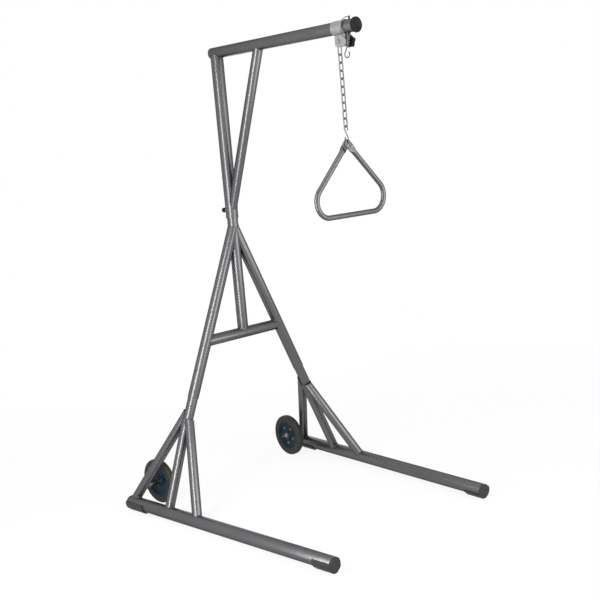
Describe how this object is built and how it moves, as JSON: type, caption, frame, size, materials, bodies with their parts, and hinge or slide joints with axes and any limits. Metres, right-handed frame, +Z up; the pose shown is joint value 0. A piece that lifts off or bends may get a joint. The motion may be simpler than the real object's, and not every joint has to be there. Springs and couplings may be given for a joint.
{
  "type": "bed trapeze",
  "caption": "Free-standing bed trapeze: tubular floor base with two wheels, A-frame, swivelling mast with boom, sliding hanger strap, chain and triangular hand grip.",
  "frame": {"origin": "on the floor, under the middle of the outline", "axes": "+Z up, +X forward along the boom and the base tubes, +Y to the user-facing left of the mast"},
  "size_m": [1.1636, 1.0212, 1.8353],
  "materials": {
    "vein_paint": "dark silver-grey metallic powder coat, semi-gloss",
    "foot_rubber": "matt black rubber",
    "tyre": "dull black rubber",
    "hub_paint": "dark teal blue, satin",
    "bearing_steel": "oiled steel",
    "black_plastic": "black moulded plastic",
    "zinc": "grey zinc plate",
    "dark_steel": "blackened steel"
  },
  "bodies": {
    "frame": {"base_tube_right": "vein_paint", "strut_rear_right": "vein_paint", "strut_middle_right": "vein_paint", "strut_front_right": "vein_paint", "stub_tube_right": "vein_paint", "leg_right": "vein_paint", "axle_tube_right": "vein_paint", "foot_rear_right": "foot_rubber", "foot_front_right": "foot_rubber", "axle_bolt_right": "zinc", "base_tube_left": "vein_paint", "strut_rear_left": "vein_paint", "strut_middle_left": "vein_paint", "strut_front_left": "vein_paint", "stub_tube_left": "vein_paint", "leg_left": "vein_paint", "axle_tube_left": "vein_paint", "foot_rear_left": "foot_rubber", "foot_front_left": "foot_rubber", "axle_bolt_left": "zinc", "cross_brace": "vein_paint", "centre_post": "vein_paint"},
    "leg_button_right": {"leg_button_right": "zinc"},
    "wheel_right": {"tyre_right": "tyre", "hub_right": "hub_paint", "wheel_bearing_right": "bearing_steel"},
    "leg_button_left": {"leg_button_left": "zinc"},
    "wheel_left": {"tyre_left": "tyre", "hub_left": "hub_paint", "wheel_bearing_left": "bearing_steel"},
    "mast": {"rear_post": "vein_paint", "front_brace": "vein_paint", "boom_tube": "vein_paint", "boom_rear_plug": "black_plastic", "boom_front_cap": "black_plastic", "lock_boss": "vein_paint"},
    "lock_knob": {"lock_screw": "zinc", "lock_ball": "black_plastic"},
    "hanger": {"hanger_strap": "zinc", "clamp_bolt": "zinc", "clamp_spacer": "zinc"},
    "clamp_knob": {"clamp_knob": "black_plastic"},
    "spare_hook": {"spare_hook": "zinc"},
    "stop_pin": {"stop_pin": "dark_steel"},
    "pin_bail": {"pin_bail": "dark_steel"},
    "top_link": {"top_link": "zinc"},
    "chain_link_01": {"chain_link_01": "zinc"},
    "chain_link_02": {"chain_link_02": "zinc"},
    "chain_link_03": {"chain_link_03": "zinc"},
    "chain_link_04": {"chain_link_04": "zinc"},
    "chain_link_05": {"chain_link_05": "zinc"},
    "chain_link_06": {"chain_link_06": "zinc"},
    "chain_link_07": {"chain_link_07": "zinc"},
    "chain_link_08": {"chain_link_08": "zinc"},
    "chain_link_09": {"chain_link_09": "zinc"},
    "handle_hook": {"handle_hook": "zinc"},
    "handle": {"handle_tube": "vein_paint", "handle_rivet": "zinc"}
  },
  "joints": [
    {"name": "mast_swivel", "type": "hinge", "parent": "frame", "child": "mast", "pos_m": [-0.29875, 0, 1.142], "axis": [0, 0, 1], "continuous": true},
    {"name": "lock_screw_turn", "type": "hinge", "parent": "mast", "child": "lock_knob", "pos_m": [-0.34675, 0, 1.175], "axis": [-1, 0, 0], "range_deg": [0, 720]},
    {"name": "leg_button_press_right", "type": "slide", "parent": "frame", "child": "leg_button_right", "axis": [1, 0, 0], "range_m": [0, 0.005], "stiffness_N_per_m": 900},
    {"name": "leg_button_press_left", "type": "slide", "parent": "frame", "child": "leg_button_left", "axis": [1, 0, 0], "range_m": [0, 0.005], "stiffness_N_per_m": 900},
    {"name": "wheel_spin_right", "type": "hinge", "parent": "frame", "child": "wheel_right", "pos_m": [-0.48994, -0.36393, 0.0935], "axis": [0.0628, -0.998, 0], "continuous": true},
    {"name": "wheel_spin_left", "type": "hinge", "parent": "frame", "child": "wheel_left", "pos_m": [-0.48994, 0.36393, 0.0935], "axis": [0.0628, 0.998, 0], "continuous": true},
    {"name": "hanger_slide", "type": "slide", "parent": "mast", "child": "hanger", "axis": [1, 0, 0], "range_m": [-0.36, 0]},
    {"name": "clamp_knob_turn", "type": "hinge", "parent": "hanger", "child": "clamp_knob", "pos_m": [0.38425, 0.054, 1.755], "axis": [0, 1, 0], "range_deg": [0, 720]},
    {"name": "spare_hook_swing", "type": "hinge", "parent": "hanger", "child": "spare_hook", "pos_m": [0.38425, 0.035, 1.755], "axis": [0, 1, 0], "range_deg": [-60, 60]},
    {"name": "stop_pin_play", "type": "slide", "parent": "mast", "child": "stop_pin", "axis": [0, -0.1668, -0.986], "range_m": [0, 0.006], "stiffness_N_per_m": 400},
    {"name": "bail_swing", "type": "hinge", "parent": "stop_pin", "child": "pin_bail", "pos_m": [0.43525, -0.00651, 1.76102], "axis": [1, 0, 0], "range_deg": [0, 100]},
    {"name": "top_link_swing", "type": "hinge", "parent": "hanger", "child": "top_link", "pos_m": [0.38425, 0, 1.755], "axis": [0, 1, 0], "range_deg": [-30, 30]},
    {"name": "chain_link_01_swing", "type": "hinge", "parent": "top_link", "child": "chain_link_01", "pos_m": [0.38425, 0, 1.707], "axis": [1, 0, 0], "range_deg": [-12, 12]},
    {"name": "chain_link_02_swing", "type": "hinge", "parent": "chain_link_01", "child": "chain_link_02", "pos_m": [0.38425, 0, 1.6796], "axis": [0, 1, 0], "range_deg": [-12, 12]},
    {"name": "chain_link_03_swing", "type": "hinge", "parent": "chain_link_02", "child": "chain_link_03", "pos_m": [0.38425, 0, 1.6522], "axis": [1, 0, 0], "range_deg": [-12, 12]},
    {"name": "chain_link_04_swing", "type": "hinge", "parent": "chain_link_03", "child": "chain_link_04", "pos_m": [0.38425, 0, 1.6248], "axis": [0, 1, 0], "range_deg": [-12, 12]},
    {"name": "chain_link_05_swing", "type": "hinge", "parent": "chain_link_04", "child": "chain_link_05", "pos_m": [0.38425, 0, 1.5974], "axis": [1, 0, 0], "range_deg": [-12, 12]},
    {"name": "chain_link_06_swing", "type": "hinge", "parent": "chain_link_05", "child": "chain_link_06", "pos_m": [0.38425, 0, 1.57], "axis": [0, 1, 0], "range_deg": [-12, 12]},
    {"name": "chain_link_07_swing", "type": "hinge", "parent": "chain_link_06", "child": "chain_link_07", "pos_m": [0.38425, 0, 1.5426], "axis": [1, 0, 0], "range_deg": [-12, 12]},
    {"name": "chain_link_08_swing", "type": "hinge", "parent": "chain_link_07", "child": "chain_link_08", "pos_m": [0.38425, 0, 1.5152], "axis": [0, 1, 0], "range_deg": [-12, 12]},
    {"name": "chain_link_09_swing", "type": "hinge", "parent": "chain_link_08", "child": "chain_link_09", "pos_m": [0.38425, 0, 1.4878], "axis": [1, 0, 0], "range_deg": [-12, 12]},
    {"name": "handle_hook_swing", "type": "hinge", "parent": "chain_link_09", "child": "handle_hook", "pos_m": [0.38425, 0, 1.4604], "axis": [0, 1, 0], "range_deg": [-30, 30]},
    {"name": "handle_swing", "type": "hinge", "parent": "handle_hook", "child": "handle", "pos_m": [0.38425, 0, 1.4107], "axis": [1, 0, 0], "range_deg": [-45, 45]}
  ]
}
